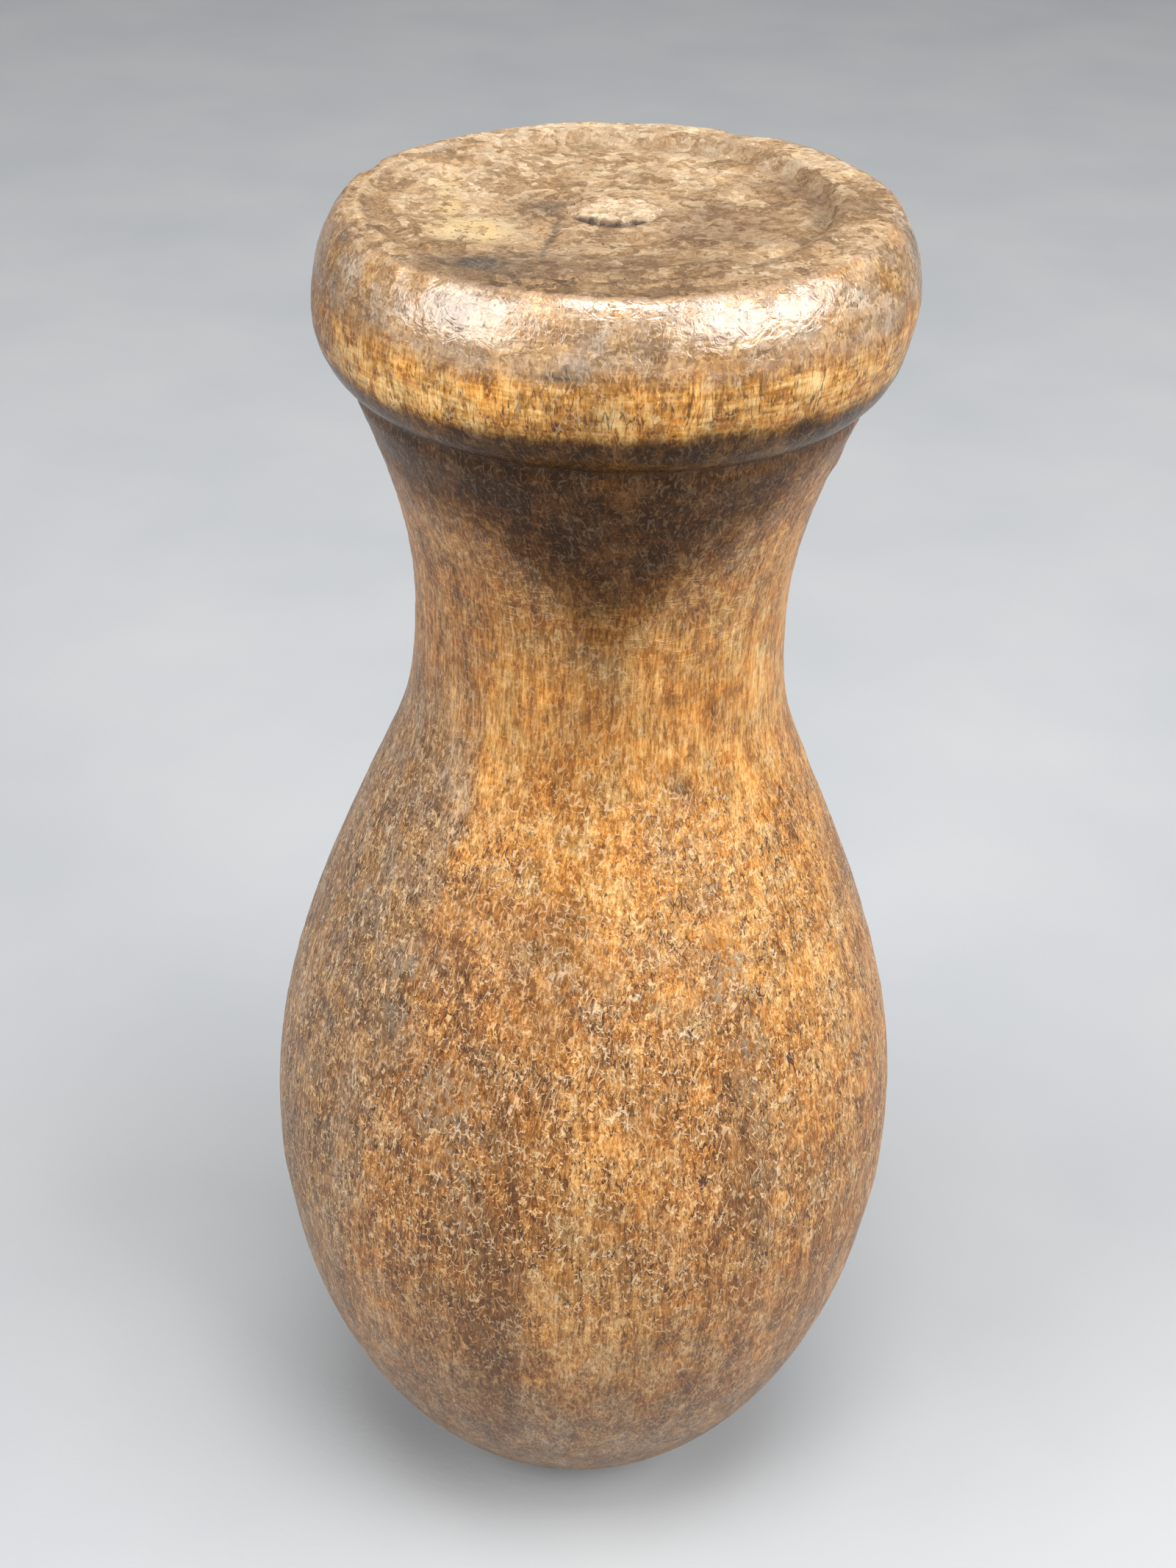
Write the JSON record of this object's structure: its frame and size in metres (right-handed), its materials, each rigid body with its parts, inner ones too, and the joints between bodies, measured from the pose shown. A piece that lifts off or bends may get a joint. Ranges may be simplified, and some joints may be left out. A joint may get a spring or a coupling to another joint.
{
  "type": "carving mallet",
  "caption": "One-piece turned wooden palm mallet for carving: egg-shaped striking head, narrow waist to grip, mushroom knob with a dished end.",
  "frame": {"origin": "centre of the small flat foot that the mallet stands on, at the lowest point of the part", "axes": "+Z is the lathe axis, from the foot of the head up through the waist to the knob; X and Y are any two directions across the turned body, with -Y the side that the main view shows"},
  "size_m": [0.08, 0.08, 0.1763],
  "materials": {
    "turned_hardwood": "old satin varnish over close-grained hardwood, rubbed and bruised",
    "plug_wood": "bare worn end grain, matt"
  },
  "bodies": {
    "root": {"mallet_body": "turned_hardwood", "centre_plug": "plug_wood"}
  },
  "joints": []
}
